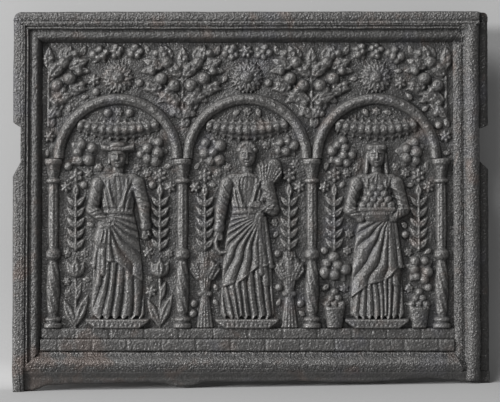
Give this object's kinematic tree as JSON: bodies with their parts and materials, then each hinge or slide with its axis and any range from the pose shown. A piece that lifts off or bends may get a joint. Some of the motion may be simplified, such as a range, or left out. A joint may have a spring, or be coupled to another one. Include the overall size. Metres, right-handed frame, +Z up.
{
  "type": "stove plate",
  "caption": "Upright cast-iron stove plate with a moulded frame, notched side edges and an arcaded relief of harvest figures under fruiting boughs.",
  "frame": {"origin": "bottom centre of the standing plate's bounding box, at the height of the two corners that it stands on", "axes": "+Z up, +X to the right along its width as seen from the front, +Y towards the back face; the relief faces -Y. The frame leans 1.05 degrees clockwise, because the plate stands on a bottom edge that isn't parallel to it"},
  "size_m": [0.7262, 0.028, 0.5717],
  "materials": {
    "iron_plate": "sand-cast, dark grey, dull",
    "iron_frame": "sand-cast, grey, grainy, faint rust",
    "iron_relief": "sand-cast, grey, worn on its high points"
  },
  "bodies": {
    "root": {"bed_plate": "iron_plate", "top_edge": "iron_frame", "bottom_edge": "iron_frame", "left_upper_edge": "iron_frame", "left_lower_edge": "iron_frame", "right_upper_edge": "iron_frame", "right_lower_edge": "iron_frame", "top_rim": "iron_frame", "bottom_rim": "iron_frame", "left_rim": "iron_frame", "right_rim": "iron_frame", "top_moulding": "iron_frame", "bottom_moulding": "iron_frame", "left_moulding": "iron_frame", "right_moulding": "iron_frame", "lower_step": "iron_plate", "upper_step": "iron_plate", "left_pedestal": "iron_relief", "middle_pedestal": "iron_relief", "right_pedestal": "iron_relief", "column_1": "iron_relief", "column_2": "iron_relief", "column_3": "iron_relief", "column_4": "iron_relief", "left_arch": "iron_relief", "middle_arch": "iron_relief", "right_arch": "iron_relief", "left_garland": "iron_relief", "middle_garland": "iron_relief", "right_garland": "iron_relief", "sower_figure": "iron_relief", "reaper_figure": "iron_relief", "fruit_bearer_figure": "iron_relief", "bough_1": "iron_relief", "bough_2": "iron_relief", "bough_3": "iron_relief", "bough_4": "iron_relief", "left_flower": "iron_relief", "middle_flower": "iron_relief", "right_flower": "iron_relief", "tulip_1": "iron_relief", "tulip_2": "iron_relief", "sheaf_1": "iron_relief", "sheaf_2": "iron_relief", "basket_1": "iron_relief", "basket_2": "iron_relief", "left_laurels": "iron_relief", "middle_laurels": "iron_relief", "right_laurels": "iron_relief", "rosettes": "iron_relief"}
  },
  "joints": []
}
